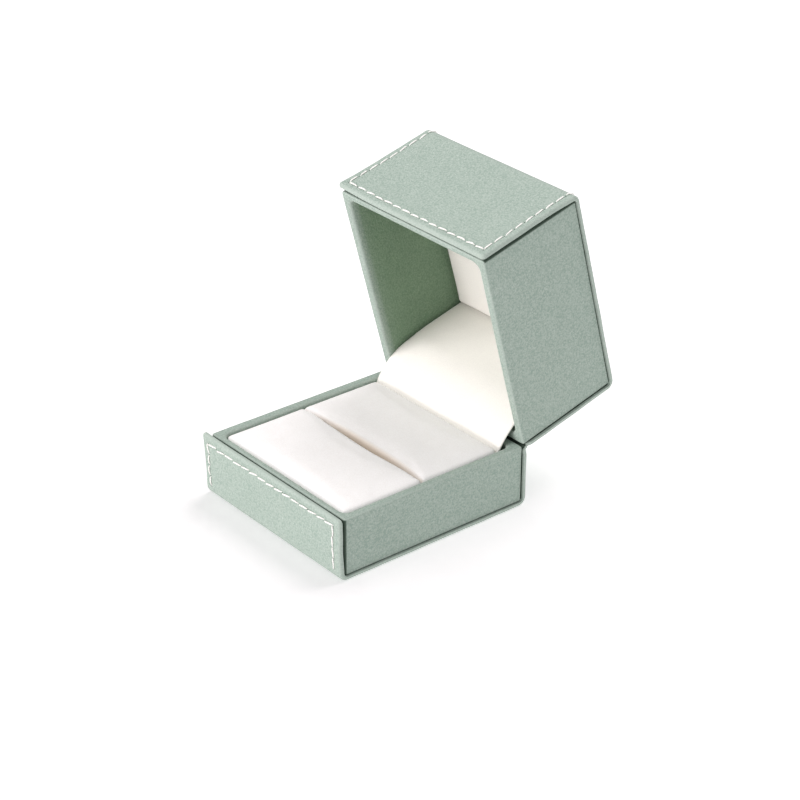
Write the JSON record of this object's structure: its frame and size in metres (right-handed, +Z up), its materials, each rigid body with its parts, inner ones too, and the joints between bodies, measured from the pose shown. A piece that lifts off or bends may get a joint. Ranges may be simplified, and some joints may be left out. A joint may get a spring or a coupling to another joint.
{
  "type": "ring box",
  "caption": "Small hinged ring box in a folded, edge-stitched leatherette wrap, standing open on two crowned suede pads with a ring slit between them.",
  "frame": {"origin": "centre of the flat underside of the base", "axes": "+X to the right seen from the front, +Y from the front flap to the hinge, +Z up; the lid stands open on its stop"},
  "size_m": [0.06, 0.0953, 0.087],
  "materials": {
    "sage_leatherette": "matte",
    "white_suede": "matte",
    "white_thread": "satin",
    "pad_foam": "matte",
    "greyboard": "matte",
    "insert_card": "matte",
    "plated_steel": "satin",
    "spring_steel": "satin"
  },
  "bodies": {
    "base": {"base_tray_core": "greyboard", "base_tray_cover": "sage_leatherette", "base_front_board": "greyboard", "base_bottom_board": "greyboard", "base_back_board": "greyboard", "base_wrap_leather": "sage_leatherette", "base_stitching": "white_thread", "hinge_base_tacks": "plated_steel", "spine_crease": "sage_leatherette", "cushion_card": "insert_card", "front_pad_foam": "pad_foam", "front_pad_cover": "white_suede", "rear_pad_foam": "pad_foam", "rear_pad_cover": "white_suede", "hinge_cover_strip": "white_suede", "strip_anchor_card": "insert_card", "hinge_base_leaf": "plated_steel", "hinge_pin": "plated_steel", "bow_spring_left": "spring_steel", "bow_spring_right": "spring_steel"},
    "lid": {"lid_tray_core": "greyboard", "lid_tray_cover": "sage_leatherette", "lid_front_board": "greyboard", "lid_top_board": "greyboard", "lid_back_board": "greyboard", "lid_wrap_leather": "sage_leatherette", "lid_stitching": "white_thread", "hinge_lid_tacks": "plated_steel", "lid_liner_card": "insert_card", "lid_liner_foam": "pad_foam", "lid_liner_cover": "white_suede", "strip_lid_card": "insert_card", "hinge_lid_leaf": "plated_steel"}
  },
  "joints": [
    {"name": "lid_hinge", "type": "hinge", "parent": "base", "child": "lid", "pos_m": [0, 0.03075, 0.0182], "axis": [1, 0, 0], "range_deg": [0, 74.8], "deforming": ["hinge_cover_strip", "spine_crease", "bow_spring_left", "bow_spring_right"]}
  ]
}
